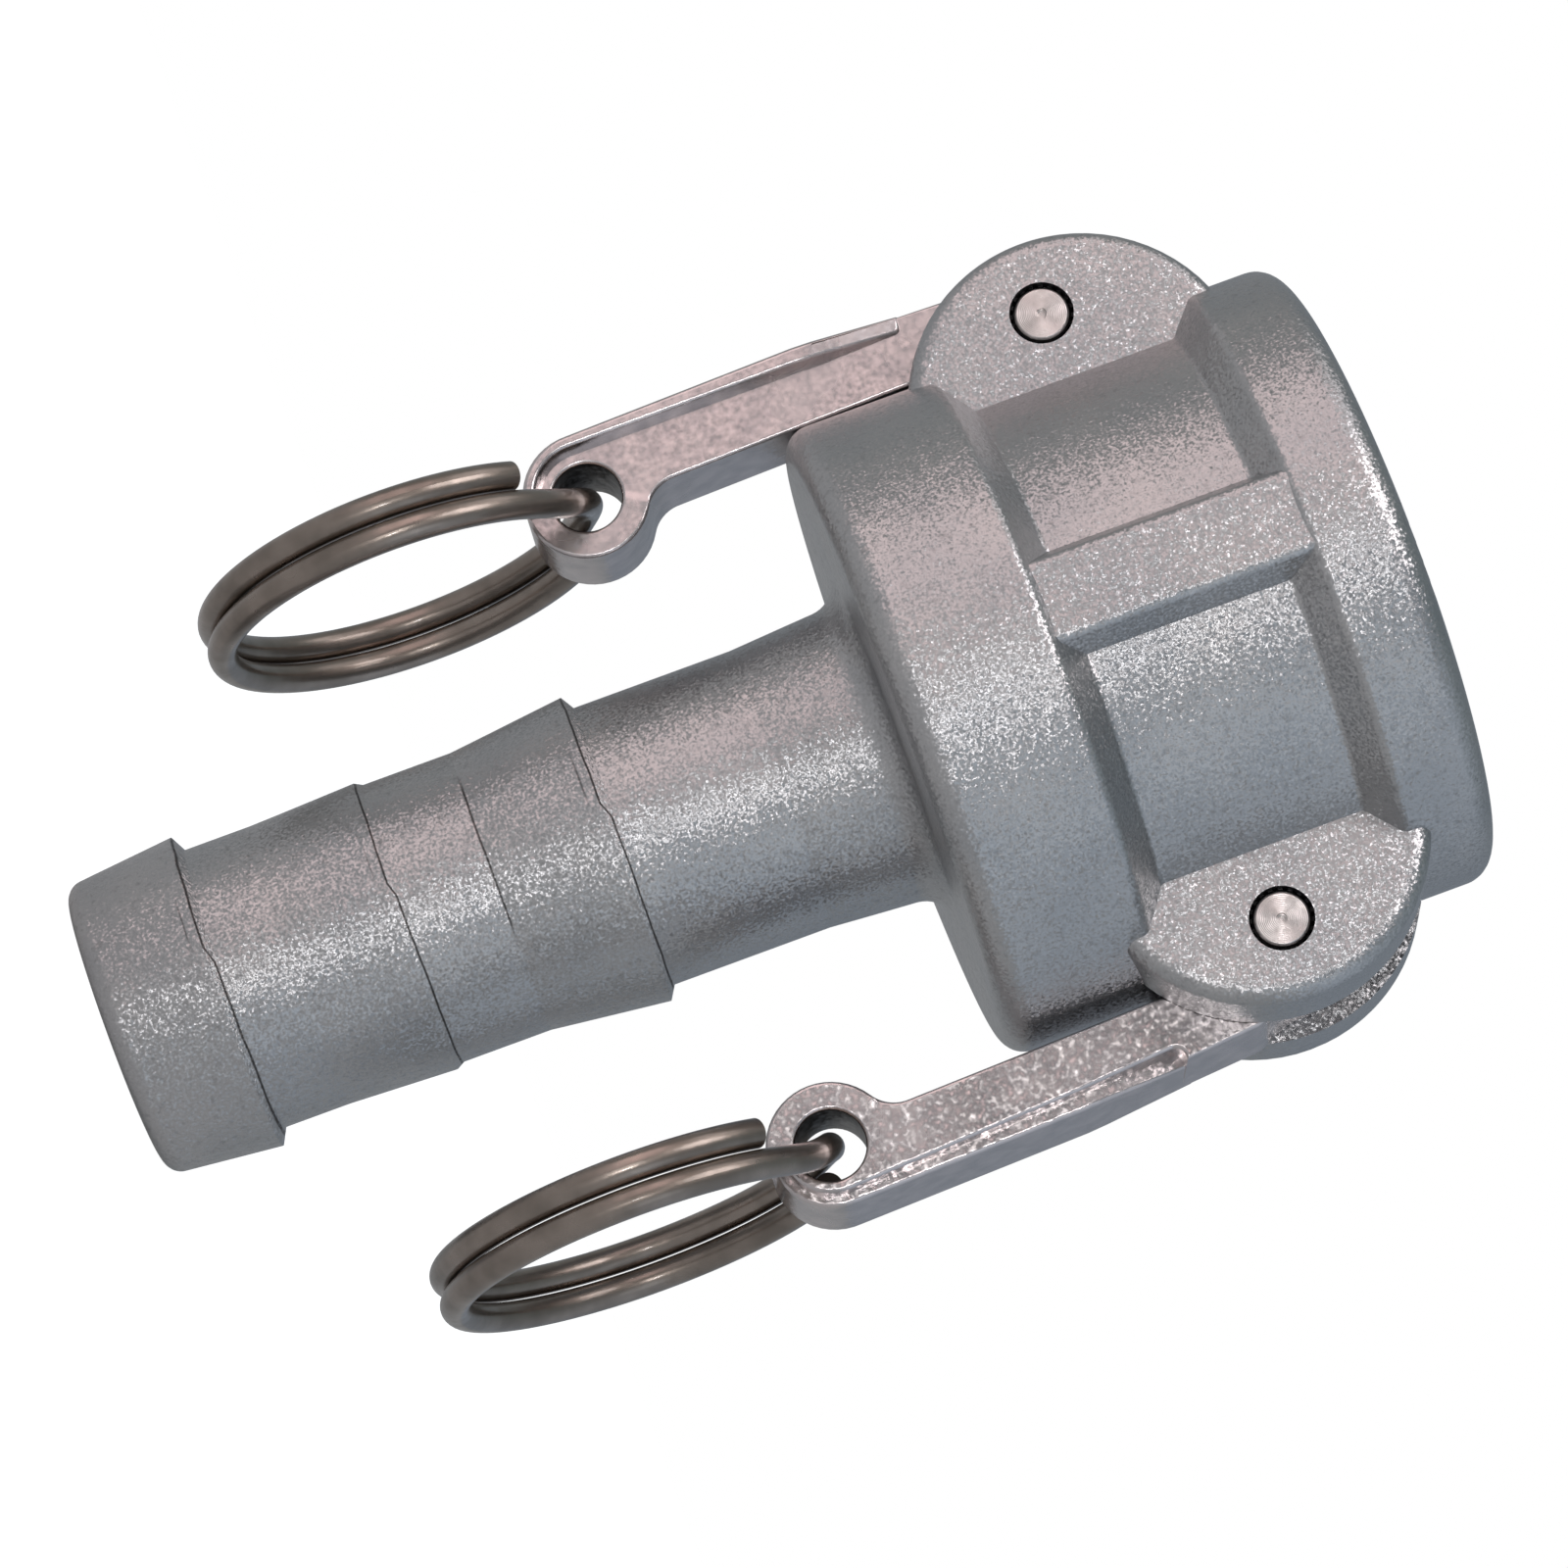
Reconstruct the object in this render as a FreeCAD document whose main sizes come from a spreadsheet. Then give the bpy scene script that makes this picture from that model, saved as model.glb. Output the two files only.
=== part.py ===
import FreeCAD, Part
import math
import os
import re
import Sketcher

# Cam and groove coupling, socket end with two cam arms and a barbed hose shank.
# Millimetres, +Z up: the hose shank stands on its end and the socket's mouth faces up.
# The origin is the centre of the shank's end face. The pivot pins lie along Y and the
# two cam arms hang at -X (left) and +X (right).

DOC = FreeCAD.newDocument("coupling")
SHEET = DOC.addObject("Spreadsheet::Sheet", "Sizes")

SIZES = [
    # hose shank, from its end upwards
    ("shank_bore_radius", 7.0),
    ("bore_entry_chamfer", 0.6),
    ("tip_radius", 9.65),
    ("tip_round", 1.2),
    ("neck_radius", 9.35),
    ("barb_back_run", 0.55),
    ("first_crest_step", 1.05),
    ("first_crest_height", 7.4),
    ("first_neck_run", 4.9),
    ("second_crest_step", 0.3),
    ("second_rise_run", 7.1),
    ("second_neck_run", 6.4),
    ("third_crest_step", 0.9),
    ("third_rise_run", 7.8),
    ("clamp_run", 10.5),
    ("flare_step", 0.55),
    ("flare_run", 7.65),
    ("neck_fillet", 2.0),
    # socket, from its mouth downwards
    ("socket_radius", 16.15),
    ("socket_relief", 0.2),
    ("socket_lip_depth", 8.9),
    ("mouth_chamfer", 0.8),
    ("seat_wall", 2.3),
    ("gasket_side_gap", 0.15),
    ("gasket_top_gap", 0.14),
    # collar, recessed barrel and flange
    ("barrel_wall", 2.35),
    ("collar_step", 2.4),
    ("collar_width", 10.1),
    ("collar_round", 1.8),
    ("recess_length", 17.1),
    ("recess_slope_run", 1.9),
    ("recess_crest_round", 0.8),
    ("recess_foot_round", 0.4),
    ("flange_step", 2.0),
    ("flange_width", 6.0),
    ("flange_round", 1.8),
    ("rib_half_width", 2.6),
    ("rib_slope_run", 1.7),
    ("rib_step", 1.8),
    ("rib_root_run", 1.0),
    ("rib_crest_round", 0.6),
    # ears
    ("pivot_reach", 2.3),
    ("pivot_drop", 15.05),
    ("ear_radius", 10.9),
    ("ear_centre_inset", 5.8),
    ("ear_centre_rise", 0.45),
    ("ear_thickness", 5.7),
    ("ear_round", 1.1),
    ("slot_root_run", 1.5),
    ("window_top_gap", 0.6),
    ("window_foot_gap", 0.05),
    # gasket
    ("gasket_radius", 17.45),
    ("gasket_hole_radius", 11.1),
    ("gasket_thickness", 5.56),
    ("gasket_round", 0.4),
    # cam arms
    ("arm_thickness", 6.3),
    ("arm_side_gap", 0.15),
    ("arm_length", 30.85),
    ("arm_outer_offset", 4.8),
    ("arm_shoulder_run", 1.8),
    ("arm_shoulder_round", 2.0),
    ("arm_collar_gap", 0.15),
    ("arm_taper", 0.85),
    ("arm_neck_run", 7.5),
    ("arm_valley_rise", 5.45),
    ("valley_fillet", 2.4),
    ("head_radius", 4.0),
    ("lobe_radius", 5.25),
    ("lobe_bite", 2.75),
    ("eye_boss_radius", 4.05),
    ("eye_hole_radius", 2.25),
    ("eye_chamfer", 0.35),
    ("arm_edge_round", 0.3),
    ("band_width", 1.5),
    ("band_depth", 0.7),
    ("band_end_run", 8.3),
    ("band_end_round", 0.9),
    ("band_eye_land", 0.3),
    ("left_arm_lean", 1.3),
    ("right_arm_lean", 4.4),
    # pivot pins
    ("pin_radius", 1.85),
    ("pin_running_gap", 0.05),
    ("pin_spline_height", 0.19),
    ("pin_spline_root", 0.185),
    ("pin_spline_gap", 0.01),
    ("pin_spline_width", 0.28),
    ("pin_spline_run", 4.2),
    ("pin_spline_count", 20),
    ("pin_end_inset", 0.1),
    ("pin_end_chamfer", 0.25),
    ("pin_centre_radius", 0.35),
    ("pin_centre_depth", 0.3),
    # pull rings
    ("ring_radius", 12.7),
    ("ring_wire_radius", 0.95),
    ("ring_turn_gap", 0.1),
    ("ring_front_end_angle", 48.0),
    ("ring_back_end_angle", 20.0),
    ("ring_front_bend_angle", 40.0),
]

for line, (alias, value) in enumerate(SIZES, start=1):
    SHEET.set(f"A{line}", alias)
    SHEET.set(f"B{line}", str(value))
    SHEET.setAlias(f"B{line}", alias)
DOC.recompute()

# Places that follow from the sizes, as expressions
FIRST_CREST = "(neck_radius + first_crest_step)"
SECOND_RISE = "(first_crest_height + first_neck_run)"
SECOND_CREST = "(neck_radius + second_crest_step)"
SECOND_CREST_UP = f"({SECOND_RISE} + second_rise_run)"
THIRD_RISE = f"({SECOND_CREST_UP} + second_neck_run)"
THIRD_CREST = "(neck_radius + third_crest_step)"
THIRD_CREST_UP = f"({THIRD_RISE} + third_rise_run)"
CLAMP_TOP = f"({THIRD_CREST_UP} + barb_back_run + clamp_run)"
COLLAR_BACK = f"({CLAMP_TOP} + flare_run)"
COLLAR_FRONT = f"({COLLAR_BACK} + collar_width)"
FLANGE_BACK = f"({COLLAR_FRONT} + recess_length)"
MOUTH = f"({FLANGE_BACK} + flange_width)"
GASKET_SEAT = f"({COLLAR_BACK} + seat_wall)"
RELIEF = "(socket_radius + socket_relief)"
BARREL = f"({RELIEF} + barrel_wall)"
COLLAR = f"({BARREL} + collar_step)"
FLANGE = f"({BARREL} + flange_step)"
RIB_FACE = f"({BARREL} + rib_step)"
PIVOT_OUT = f"({BARREL} + pivot_reach)"
PIVOT_UP = f"({MOUTH} - pivot_drop)"
EAR_OUT = f"({PIVOT_OUT} - ear_centre_inset)"
EAR_UP = f"({PIVOT_UP} + ear_centre_rise)"
SLOT_SIDE = "(arm_thickness / 2 + arm_side_gap)"
EAR_FACE = f"({SLOT_SIDE} + ear_thickness)"
LOBE_CENTRE = f"({PIVOT_OUT} - socket_radius + lobe_bite - lobe_radius)"
ARM_INNER_NEAR = f"({COLLAR} - {PIVOT_OUT} + arm_collar_gap)"
ARM_INNER_FAR = f"({ARM_INNER_NEAR} - arm_taper)"
BAND_INNER = "(arm_outer_offset - band_width)"
EYE_RIM = "(eye_hole_radius + eye_chamfer + band_eye_land)"

NEAR = 0.02
EDGE_SAMPLES = 5
FULL_TURN = 360.0


def bound(text):
    """The expression with each size name pointed at the sheet."""
    return re.sub(r"[a-z_]+", lambda word: "Sizes." + word.group(), text)


def number(text):
    """Present value of an expression written with size names."""
    result = SHEET.evalExpression(bound(text))
    return float(getattr(result, "Value", result))


def new_body(name):
    """An empty PartDesign body with its own label."""
    body = DOC.addObject("PartDesign::Body", name)
    body.Label = name
    return body


def origin_item(body, role):
    """One of the body's own origin planes or axes."""
    return [item for item in body.Origin.OriginFeatures if item.Role == role][0]


def new_sketch(body, name, plane, offset=None):
    """A sketch on one of the body's origin planes, shifted along its normal if asked."""
    sketch = body.newObject("Sketcher::SketchObject", name)
    sketch.AttachmentSupport = (origin_item(body, plane), [""])
    sketch.MapMode = "FlatFace"
    if offset:
        sketch.setExpression(".AttachmentOffset.Base.z", bound(offset))
    return sketch


def pin_point(sketch, geometry, point, across, up):
    """Hold a sketch point at two expressions measured from the sketch's origin."""
    for kind, text, axis in (("DistanceX", across, -2), ("DistanceY", up, -1)):
        if text == "0":
            sketch.addConstraint(Sketcher.Constraint("PointOnObject", geometry, point, axis))
            continue
        rule = Sketcher.Constraint(kind, -1, 1, geometry, point, number(text))
        index = sketch.addConstraint(rule)
        sketch.setExpression(f"Constraints[{index}]", bound(text))


def polygon(sketch, corners, rounds=None):
    """A closed outline whose corners are pairs of expressions, some of them rounded."""
    places = [FreeCAD.Vector(number(a), number(b), 0) for a, b in corners]
    first = sketch.GeometryCount
    count = len(corners)
    for i in range(count):
        sketch.addGeometry(Part.LineSegment(places[i], places[(i + 1) % count]), False)
    for i in range(count):
        following = first + (i + 1) % count
        sketch.addConstraint(Sketcher.Constraint("Coincident", first + i, 2, following, 1))
    for i, (across, up) in enumerate(corners):
        pin_point(sketch, first + i, 1, across, up)
    for corner, radius in (rounds or {}).items():
        soften(sketch, first + corner, radius)


def soften(sketch, line, radius):
    """Round the corner where a line of the outline starts, and bind the arc's radius."""
    arc = sketch.GeometryCount
    sketch.fillet(line, 1, number(radius), True, True)
    rule = sketch.addConstraint(Sketcher.Constraint("Radius", arc, number(radius)))
    sketch.setExpression(f"Constraints[{rule}]", bound(radius))


def circle(sketch, across, up, radius):
    """A circle placed and sized by expressions."""
    centre = FreeCAD.Vector(number(across), number(up), 0)
    shape = Part.Circle(centre, FreeCAD.Vector(0, 0, 1), number(radius))
    index = sketch.addGeometry(shape, False)
    pin_point(sketch, index, 3, across, up)
    rule = sketch.addConstraint(Sketcher.Constraint("Radius", index, number(radius)))
    sketch.setExpression(f"Constraints[{rule}]", bound(radius))


def pad(body, name, sketch, length, midplane=False):
    """Raise a sketch by an expression's length."""
    feature = body.newObject("PartDesign::Pad", name)
    feature.Profile = sketch
    feature.Midplane = midplane
    feature.setExpression("Length", bound(length))
    DOC.recompute()
    return feature


def pocket(body, name, sketch, length, midplane=False, backwards=False):
    """Sink a sketch by an expression's length and make sure that it cut."""
    before = body.Shape.Volume
    feature = body.newObject("PartDesign::Pocket", name)
    feature.Profile = sketch
    feature.Midplane = midplane
    feature.Reversed = backwards
    feature.setExpression("Length", bound(length))
    DOC.recompute()
    assert body.Shape.Volume < before, f"{name} cut nothing"
    return feature


def turned(body, name, kind, sketch):
    """Revolve or groove a sketch all round the Z axis."""
    feature = body.newObject(kind, name)
    feature.Profile = sketch
    feature.ReferenceAxis = (sketch, ["V_Axis"])
    feature.Angle = FULL_TURN
    DOC.recompute()
    return feature


def picked_edges(shape, test):
    """Names of the edges whose points all pass the test."""
    names = []
    for index, edge in enumerate(shape.Edges, start=1):
        if all(test(point) for point in edge.discretize(EDGE_SAMPLES)):
            names.append(f"Edge{index}")
    return names


def outline_edges(shape):
    """Names of the level edges of a plate where its side walls meet its two faces."""
    names = []
    for index, edge in enumerate(shape.Edges, start=1):
        walls = [face.BoundBox for face in shape.ancestorsOfType(edge, Part.Face)]
        crosses_middle = any(box.YMin < -NEAR and box.YMax > NEAR for box in walls)
        if crosses_middle and edge.BoundBox.YLength < NEAR:
            names.append(f"Edge{index}")
    return names


def rounded(body, name, radius, names, kind="PartDesign::Fillet"):
    """Fillet or chamfer named edges of the body's last feature."""
    base = body.Tip
    assert names, f"{name} found no edge"
    feature = body.newObject(kind, name)
    feature.Base = (base, names)
    feature.setExpression("Radius" if kind.endswith("Fillet") else "Size", bound(radius))
    DOC.recompute()
    return feature


def ears(body):
    """Two pairs of D-shaped ears that carry the pivot pins, joined through the barrel."""
    web = new_sketch(body, "ear_web_outline", "XZ_Plane")
    polygon(web, [
        (f"-{EAR_OUT}", f"{EAR_UP} - ear_radius"),
        (EAR_OUT, f"{EAR_UP} - ear_radius"),
        (EAR_OUT, f"{EAR_UP} + ear_radius"),
        (f"-{EAR_OUT}", f"{EAR_UP} + ear_radius"),
    ])
    pad(body, "ear_web", web, f"2 * {EAR_FACE}", midplane=True)
    outline = new_sketch(body, "ear_outline", "XZ_Plane")
    circle(outline, EAR_OUT, EAR_UP, "ear_radius")
    circle(outline, f"-{EAR_OUT}", EAR_UP, "ear_radius")
    pad(body, "ear_discs", outline, f"2 * {EAR_FACE}", midplane=True)

    def on_ear_edge(point):
        across = abs(point.x) - number(EAR_OUT)
        up = point.z - number(EAR_UP)
        on_arc = abs(math.hypot(across, up) - number("ear_radius")) < NEAR
        return on_arc and across > -NEAR and abs(abs(point.y) - number(EAR_FACE)) < NEAR
    rounded(body, "ear_fillets", "ear_round", picked_edges(body.Shape, on_ear_edge))
    slot = new_sketch(body, "slot_outline", "XZ_Plane")
    low = f"{EAR_UP} - 2 * ear_radius"
    high = f"{EAR_UP} + 2 * ear_radius"
    for near, far in ((f"{BARREL} - slot_root_run", f"{EAR_OUT} + 2 * ear_radius"),
                      (f"-({BARREL} - slot_root_run)", f"-({EAR_OUT} + 2 * ear_radius)")):
        polygon(slot, [(near, low), (far, low), (far, high), (near, high)])
    pocket(body, "arm_slots", slot, f"2 * {SLOT_SIDE}", midplane=True)


def outer_form(body):
    """The casting's outside, turned: barbed shank, collar, recessed barrel and flange."""
    sketch = new_sketch(body, "outer_profile", "XZ_Plane")
    polygon(sketch, [
        ("0", "0"),
        ("tip_radius", "0"),
        (FIRST_CREST, "first_crest_height"),
        ("neck_radius", "first_crest_height + barb_back_run"),
        ("neck_radius", SECOND_RISE),
        (SECOND_CREST, SECOND_CREST_UP),
        ("neck_radius", f"{SECOND_CREST_UP} + barb_back_run"),
        ("neck_radius", THIRD_RISE),
        (THIRD_CREST, THIRD_CREST_UP),
        ("neck_radius", f"{THIRD_CREST_UP} + barb_back_run"),
        ("neck_radius", CLAMP_TOP),
        ("neck_radius + flare_step", COLLAR_BACK),
        (COLLAR, COLLAR_BACK),
        (COLLAR, COLLAR_FRONT),
        (BARREL, f"{COLLAR_FRONT} + recess_slope_run"),
        (BARREL, f"{FLANGE_BACK} - recess_slope_run"),
        (FLANGE, FLANGE_BACK),
        (FLANGE, MOUTH),
        ("0", MOUTH),
    ], {
        1: "tip_round",
        11: "neck_fillet",
        12: "collar_round",
        13: "recess_crest_round",
        14: "recess_foot_round",
        15: "recess_foot_round",
        16: "recess_crest_round",
        17: "flange_round",
    })
    turned(body, "outer_turning", "PartDesign::Revolution", sketch)


def ribs(body):
    """The two lengthwise ribs, at -Y and +Y, that part the recessed panels."""
    sketch = new_sketch(body, "rib_section", "XY_Plane", f"{COLLAR_FRONT} - rib_root_run")
    base = "rib_half_width + rib_slope_run"
    for sign, other in (("-", ""), ("", "-")):
        polygon(sketch, [
            (f"{other}(rib_half_width)", f"{sign}{RIB_FACE}"),
            (f"{sign}(rib_half_width)", f"{sign}{RIB_FACE}"),
            (f"{sign}({base})", f"{sign}{RELIEF}"),
            (f"{other}({base})", f"{sign}{RELIEF}"),
        ], {0: "rib_crest_round", 1: "rib_crest_round"})
    pad(body, "rib_pad", sketch, "recess_length + 2 * rib_root_run")


def bores(body):
    """Everything turned out of the inside: hose bore, gasket groove, socket and its lip."""
    sketch = new_sketch(body, "inner_profile", "XZ_Plane")
    groove_top = f"{GASKET_SEAT} + gasket_thickness + gasket_top_gap"
    groove_wall = "gasket_radius + gasket_side_gap"
    lip_foot = f"{MOUTH} - socket_lip_depth"
    polygon(sketch, [
        ("0", "0"),
        ("shank_bore_radius + bore_entry_chamfer", "0"),
        ("shank_bore_radius", "bore_entry_chamfer"),
        ("shank_bore_radius", GASKET_SEAT),
        (groove_wall, GASKET_SEAT),
        (groove_wall, groove_top),
        (RELIEF, groove_top),
        (RELIEF, lip_foot),
        ("socket_radius", lip_foot),
        ("socket_radius", f"{MOUTH} - mouth_chamfer"),
        ("socket_radius + mouth_chamfer", MOUTH),
        ("0", MOUTH),
    ])
    before = body.Shape.Volume
    turned(body, "inner_turning", "PartDesign::Groove", sketch)
    assert body.Shape.Volume < before, "inner_turning cut nothing"


def windows(body):
    """The slot through the wall between each pair of ears, where the cam reaches in."""
    sketch = new_sketch(body, "window_outline", "YZ_Plane")
    foot = f"{COLLAR_FRONT} + window_foot_gap"
    top = f"{MOUTH} - socket_lip_depth - window_top_gap"
    polygon(sketch, [
        (f"-{SLOT_SIDE}", foot),
        (SLOT_SIDE, foot),
        (SLOT_SIDE, top),
        (f"-{SLOT_SIDE}", top),
    ])
    pocket(body, "window_cut", sketch, f"2 * {COLLAR}", midplane=True)


def pin_holes(body):
    """Splined-end hole through the near ears and plain hole through the far ears."""
    spline_crest = "pin_radius + pin_spline_height + pin_spline_gap"
    for name, radius, backwards in (
        ("near_pin_holes", spline_crest, True),
        ("far_pin_holes", "pin_radius", False),
    ):
        sketch = new_sketch(body, name + "_outline", "XZ_Plane")
        circle(sketch, PIVOT_OUT, PIVOT_UP, radius)
        circle(sketch, f"-{PIVOT_OUT}", PIVOT_UP, radius)
        pocket(body, name, sketch, f"2 * {EAR_FACE}", backwards=backwards)


def make_body():
    """The casting: hose shank, collar, barrel, ears and flange in one piece."""
    body = new_body("coupler_body")
    ears(body)
    outer_form(body)
    ribs(body)
    bores(body)
    windows(body)
    pin_holes(body)
    return body


def make_gasket():
    """The flat rubber ring that lies on the seat below the socket."""
    body = new_body("gasket")
    sketch = new_sketch(body, "gasket_section", "XZ_Plane")
    top = f"{GASKET_SEAT} + gasket_thickness"
    polygon(sketch, [
        ("gasket_hole_radius", GASKET_SEAT),
        ("gasket_radius", GASKET_SEAT),
        ("gasket_radius", top),
        ("gasket_hole_radius", top),
    ], {corner: "gasket_round" for corner in range(4)})
    turned(body, "gasket_turning", "PartDesign::Revolution", sketch)
    return body


def arm_form(body):
    """The arm's outline: bar, pivot head, cam lobe and eye boss, all one thickness."""
    bar = new_sketch(body, "bar_outline", "XZ_Plane")
    eye_height = "-(arm_length)"
    polygon(bar, [
        ("arm_outer_offset", "-(arm_shoulder_run)"),
        ("0", "head_radius"),
        (f"-{LOBE_CENTRE}", "lobe_radius"),
        (f"-{LOBE_CENTRE}", "-(lobe_radius)"),
        (ARM_INNER_NEAR, "-(arm_neck_run)"),
        (ARM_INNER_FAR, "-(arm_length) + arm_valley_rise"),
        (ARM_INNER_FAR, eye_height),
        ("eye_boss_radius", eye_height),
        ("arm_outer_offset", "-(arm_length) / 2"),
    ], {0: "arm_shoulder_round"})
    pad(body, "bar", bar, "arm_thickness", midplane=True)
    for name, across, up, radius in (
        ("pivot_head", "0", "0", "head_radius"),
        ("cam_lobe", f"-{LOBE_CENTRE}", "0", "lobe_radius"),
        ("eye_boss", "0", eye_height, "eye_boss_radius"),
    ):
        disc = new_sketch(body, name + "_outline", "XZ_Plane")
        circle(disc, across, up, radius)
        pad(body, name, disc, "arm_thickness", midplane=True)


def bands(body):
    """The shallow step that runs down the outer edge of both faces and round the eye."""
    past_edge = "arm_outer_offset + band_width"
    past_eye = "-(arm_length) - eye_boss_radius - band_width"
    for name, backwards in (("near_band", False), ("far_band", True)):
        shift = "arm_thickness / 2" if not backwards else "-(arm_thickness / 2)"
        sketch = new_sketch(body, name + "_outline", "XZ_Plane", shift)
        polygon(sketch, [
            (BAND_INNER, "-(band_end_run)"),
            (past_edge, "-(band_end_run)"),
            (past_edge, past_eye),
            ("0", past_eye),
            ("0", f"-(arm_length) - {EYE_RIM}"),
            (EYE_RIM, f"-(arm_length) - {EYE_RIM}"),
            (EYE_RIM, "-(arm_length)"),
            (BAND_INNER, "-(arm_length) / 2"),
        ], {0: "band_end_round", 5: f"{EYE_RIM} - band_eye_land"})
        pocket(body, name, sketch, "band_depth", backwards=backwards)


def make_arm(name, side, lean):
    """A cam arm with its eye, its stepped outer band and its pivot hole."""
    body = new_body(name)
    arm_form(body)
    far_offset = number(ARM_INNER_FAR)
    valley_drop = math.sqrt(number("eye_boss_radius") ** 2 - far_offset ** 2)

    def in_valley(point):
        across = abs(point.x - far_offset)
        return across < NEAR and abs(point.z + number("arm_length") - valley_drop) < NEAR
    rounded(body, "valley_round", "valley_fillet", picked_edges(body.Shape, in_valley))
    bands(body)
    rounded(body, "outline_fillets", "arm_edge_round", outline_edges(body.Shape))
    holes = new_sketch(body, "hole_outline", "XZ_Plane")
    circle(holes, "0", "0", "pin_radius + pin_running_gap")
    circle(holes, "0", "-(arm_length)", "eye_hole_radius")
    pocket(body, "holes", holes, "2 * arm_thickness", midplane=True)

    def on_eye_rim(point):
        off = math.hypot(point.x, point.z + number("arm_length")) - number("eye_hole_radius")
        return abs(off) < NEAR and abs(abs(point.y) - number("arm_thickness / 2")) < NEAR
    rounded(body, "eye_rim", "eye_chamfer", picked_edges(body.Shape, on_eye_rim),
            "PartDesign::Chamfer")
    spin = FreeCAD.Rotation(FreeCAD.Vector(0, 0, 1), 0 if side > 0 else 180)
    swing = FreeCAD.Rotation(FreeCAD.Vector(0, 1, 0), -number(lean))
    place = FreeCAD.Vector(side * number(PIVOT_OUT), 0, number(PIVOT_UP))
    body.Placement = FreeCAD.Placement(place, spin.multiply(swing))
    return body


def make_pin(name, side):
    """A pivot pin with a straight-splined near end, pressed into the near ear."""
    body = new_body(name)
    half_length = f"({EAR_FACE} - pin_end_inset)"
    shank = new_sketch(body, "pin_outline", "XZ_Plane")
    circle(shank, "0", "0", "pin_radius")
    pad(body, "pin_bar", shank, f"2 * {half_length}", midplane=True)

    def on_end(point):
        return abs(abs(point.y) - number(half_length)) < NEAR
    rounded(body, "pin_ends", "pin_end_chamfer", picked_edges(body.Shape, on_end),
            "PartDesign::Chamfer")
    tooth = new_sketch(body, "spline_outline", "XZ_Plane",
                       f"{half_length} - pin_spline_run - 2 * pin_end_chamfer")
    half = "pin_spline_width / 2"
    polygon(tooth, [
        (f"-({half})", "pin_radius - pin_spline_root"),
        (half, "pin_radius - pin_spline_root"),
        (half, "pin_radius + pin_spline_height"),
        (f"-({half})", "pin_radius + pin_spline_height"),
    ])
    first = pad(body, "spline_tooth", tooth, "pin_spline_run")
    ring = body.newObject("PartDesign::PolarPattern", "splines")
    ring.Originals = [first]
    ring.Axis = (origin_item(body, "Y_Axis"), [""])
    ring.Angle = FULL_TURN
    ring.setExpression("Occurrences", bound("pin_spline_count"))
    body.Tip = ring
    DOC.recompute()
    centre = new_sketch(body, "centre_outline", "XZ_Plane", f"{half_length} - pin_centre_depth")
    circle(centre, "0", "0", "pin_centre_radius")
    pocket(body, "centre_mark", centre, "2 * pin_centre_depth", backwards=True)
    place = FreeCAD.Vector(side * number(PIVOT_OUT), 0, number(PIVOT_UP))
    body.Placement = FreeCAD.Placement(place, FreeCAD.Rotation())
    return body


def ring_point(across, angle):
    """Place on one turn of the pull ring: angle from the eye, positive behind it."""
    radius = number("ring_radius")
    turn = math.radians(angle)
    return FreeCAD.Vector(across, radius * math.sin(turn), radius * math.cos(turn) - radius)


def turn_arc(across, first, last):
    """The centre line of the wire along one flat turn."""
    places = [ring_point(across, angle) for angle in (first, (first + last) / 2, last)]
    return Part.Arc(*places).toShape()


def turn_heading(angle):
    """Direction in which the wire runs along a flat turn, towards smaller angles."""
    turn = math.radians(angle)
    return FreeCAD.Vector(0, -math.cos(turn), math.sin(turn))


def turn_step(half, back, front):
    """The smooth step of the wire from one turn to the other, through the eye."""
    places = []
    for share in (0, 1 / 3, 2 / 3, 1):
        across = -half * math.cos(math.pi * share)
        places.append(ring_point(across, back + (front - back) * share))
    step = Part.BSplineCurve()
    step.interpolate(Points=places, InitialTangent=turn_heading(back),
                     FinalTangent=turn_heading(front))
    return step.toShape()


def make_ring(name, side, lean):
    """A split ring of two turns side by side, with its step between turns in the eye."""
    half = number("ring_wire_radius + ring_turn_gap / 2")
    front_end = -number("ring_front_end_angle")
    front_bend = -number("ring_front_bend_angle")
    back = number("ring_back_end_angle")
    lap = back - FULL_TURN
    route = Part.Wire([
        turn_arc(-half, front_end, lap),
        turn_step(half, back, front_bend),
        turn_arc(half, front_bend, lap),
    ])
    start = ring_point(-half, front_end)
    section = Part.Circle(start, turn_heading(front_end), number("ring_wire_radius"))
    body = DOC.addObject("Part::Feature", name)
    body.Label = name
    body.Shape = route.makePipeShell([Part.Wire([section.toShape()])], True, False)
    turn = math.radians(number(lean))
    across = number(PIVOT_OUT) + number("arm_length") * math.sin(turn)
    height = number(PIVOT_UP) - number("arm_length") * math.cos(turn)
    place = FreeCAD.Vector(side * across, 0, height)
    body.Placement = FreeCAD.Placement(place, FreeCAD.Rotation())
    return body


LEFT, RIGHT = -1, 1
PARTS = [
    make_body(),
    make_gasket(),
    make_arm("cam_arm_left", LEFT, "left_arm_lean"),
    make_arm("cam_arm_right", RIGHT, "right_arm_lean"),
    make_pin("pivot_pin_left", LEFT),
    make_pin("pivot_pin_right", RIGHT),
    make_ring("pull_ring_left", LEFT, "left_arm_lean"),
    make_ring("pull_ring_right", RIGHT, "right_arm_lean"),
]
DOC.recompute()

for item in DOC.Objects:
    assert not {"Invalid", "Error"} & set(item.State), f"{item.Name}: {item.State}"
for part in PARTS:
    assert not part.Shape.isNull() and part.Shape.isValid(), f"{part.Label} has a bad shape"
    assert len(part.Shape.Solids) == 1, f"{part.Label} has {len(part.Shape.Solids)} solids"

os.makedirs("parts", exist_ok=True)
for part in PARTS:
    part.Shape.exportStep(f"parts/{part.Label}.step")
    print(part.Label, round(part.Shape.Volume, 1), part.Shape.BoundBox)
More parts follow.
